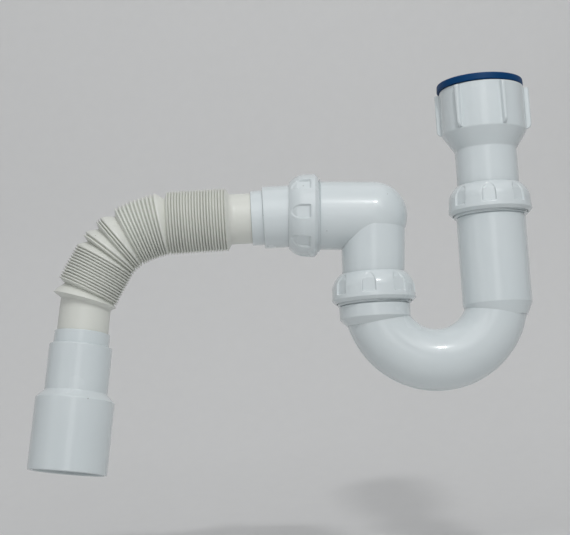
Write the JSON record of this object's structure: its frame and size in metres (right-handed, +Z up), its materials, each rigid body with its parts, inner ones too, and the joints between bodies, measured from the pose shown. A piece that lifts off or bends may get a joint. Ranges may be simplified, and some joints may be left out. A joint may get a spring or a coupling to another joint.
{
  "type": "urinal trap",
  "caption": "Plastic trap for a urinal: ribbed inlet cup with a rubber cuff, U-bend, elbow and corrugated hose, joined by slip nuts, with a stepped outlet.",
  "frame": {"origin": "centre of the inlet mouth, on the top face of the rubber cuff", "axes": "+Z up along the inlet axis, against the flow; the hose leads off along -X; +Y points to the back, away from the viewer"},
  "size_m": [0.3329, 0.0618, 0.2411],
  "materials": {
    "white_plastic": "glossy moulded white plastic, slightly cool",
    "hose_plastic": "softer, creamier white plastic with a low sheen",
    "blue_rubber": "smooth deep blue rubber",
    "seal_rubber": "matt black rubber",
    "washer_plastic": "matt white plastic"
  },
  "bodies": {
    "inlet": {"inlet_cup": "white_plastic", "inlet_cuff": "blue_rubber"},
    "inlet_seal": {"inlet_cone_seal": "seal_rubber"},
    "trap": {"u_bend": "white_plastic", "middle_cone_seal": "seal_rubber"},
    "inlet_washer": {"inlet_washer": "washer_plastic"},
    "inlet_nut": {"inlet_nut": "white_plastic"},
    "elbow": {"elbow": "white_plastic", "outlet_cone_seal": "seal_rubber"},
    "middle_washer": {"middle_washer": "washer_plastic"},
    "middle_nut": {"middle_nut": "white_plastic"},
    "tail": {"hose_tail": "white_plastic"},
    "outlet_washer": {"outlet_washer": "washer_plastic"},
    "outlet_nut": {"outlet_nut": "white_plastic"},
    "hose": {"flexible_hose": "hose_plastic"},
    "outlet": {"outlet_spigot": "white_plastic"}
  },
  "joints": [
    {"name": "inlet_telescope", "type": "slide", "parent": "inlet", "child": "inlet_seal", "axis": [0, 0, 1], "range_m": [-0.022, 0.014]},
    {"name": "inlet_swivel", "type": "hinge", "parent": "inlet_seal", "child": "trap", "pos_m": [0, 0, -0.0773], "axis": [0, 0, 1], "continuous": true},
    {"name": "inlet_nut_lift", "type": "slide", "parent": "trap", "child": "inlet_washer", "axis": [0, 0, 1], "range_m": [0, 0.006]},
    {"name": "inlet_nut_turn", "type": "hinge", "parent": "inlet_washer", "child": "inlet_nut", "pos_m": [0, 0, -0.0773], "axis": [0, 0, 1], "range_deg": [0, 720]},
    {"name": "middle_nut_lift", "type": "slide", "parent": "trap", "child": "middle_washer", "axis": [0, 0, 1], "range_m": [0, 0.006]},
    {"name": "middle_nut_turn", "type": "hinge", "parent": "middle_washer", "child": "middle_nut", "pos_m": [-0.0788, 0, -0.1304], "axis": [0, 0, 1], "range_deg": [0, 720]},
    {"name": "elbow_swivel", "type": "hinge", "parent": "trap", "child": "elbow", "pos_m": [-0.0788, 0, -0.1304], "axis": [0.061, 0, 0.9981], "range_deg": [-130, 130]},
    {"name": "outlet_nut_lift", "type": "slide", "parent": "elbow", "child": "outlet_washer", "axis": [-0.9981, 0, 0.061], "range_m": [0, 0.006]},
    {"name": "outlet_nut_turn", "type": "hinge", "parent": "outlet_washer", "child": "outlet_nut", "pos_m": [-0.12188, 0, -0.08128], "axis": [-0.9981, 0, 0.061], "range_deg": [0, 720]},
    {"name": "tail_swivel", "type": "hinge", "parent": "elbow", "child": "tail", "pos_m": [-0.12188, 0, -0.08128], "axis": [-1, 0, 0], "continuous": true},
    {"name": "hose_bend_upper", "type": "hinge", "parent": "tail", "child": "hose", "pos_m": [-0.22812, 0, -0.08128], "axis": [0, 1, 0], "range_deg": [-10, 41], "deforming": ["flexible_hose"]},
    {"name": "hose_bend_lower", "type": "hinge", "parent": "hose", "child": "outlet", "pos_m": [-0.26061, 0, -0.10967], "axis": [0, 1, 0], "range_deg": [-10, 41]}
  ],
  "couplings": [
    {"joint": "inlet_nut_lift", "follows": "inlet_nut_turn", "m_per_rad": 0.000477},
    {"joint": "middle_nut_lift", "follows": "middle_nut_turn", "m_per_rad": 0.000477},
    {"joint": "outlet_nut_lift", "follows": "outlet_nut_turn", "m_per_rad": 0.000477},
    {"joint": "hose_bend_lower", "follows": "hose_bend_upper", "ratio": 1}
  ]
}
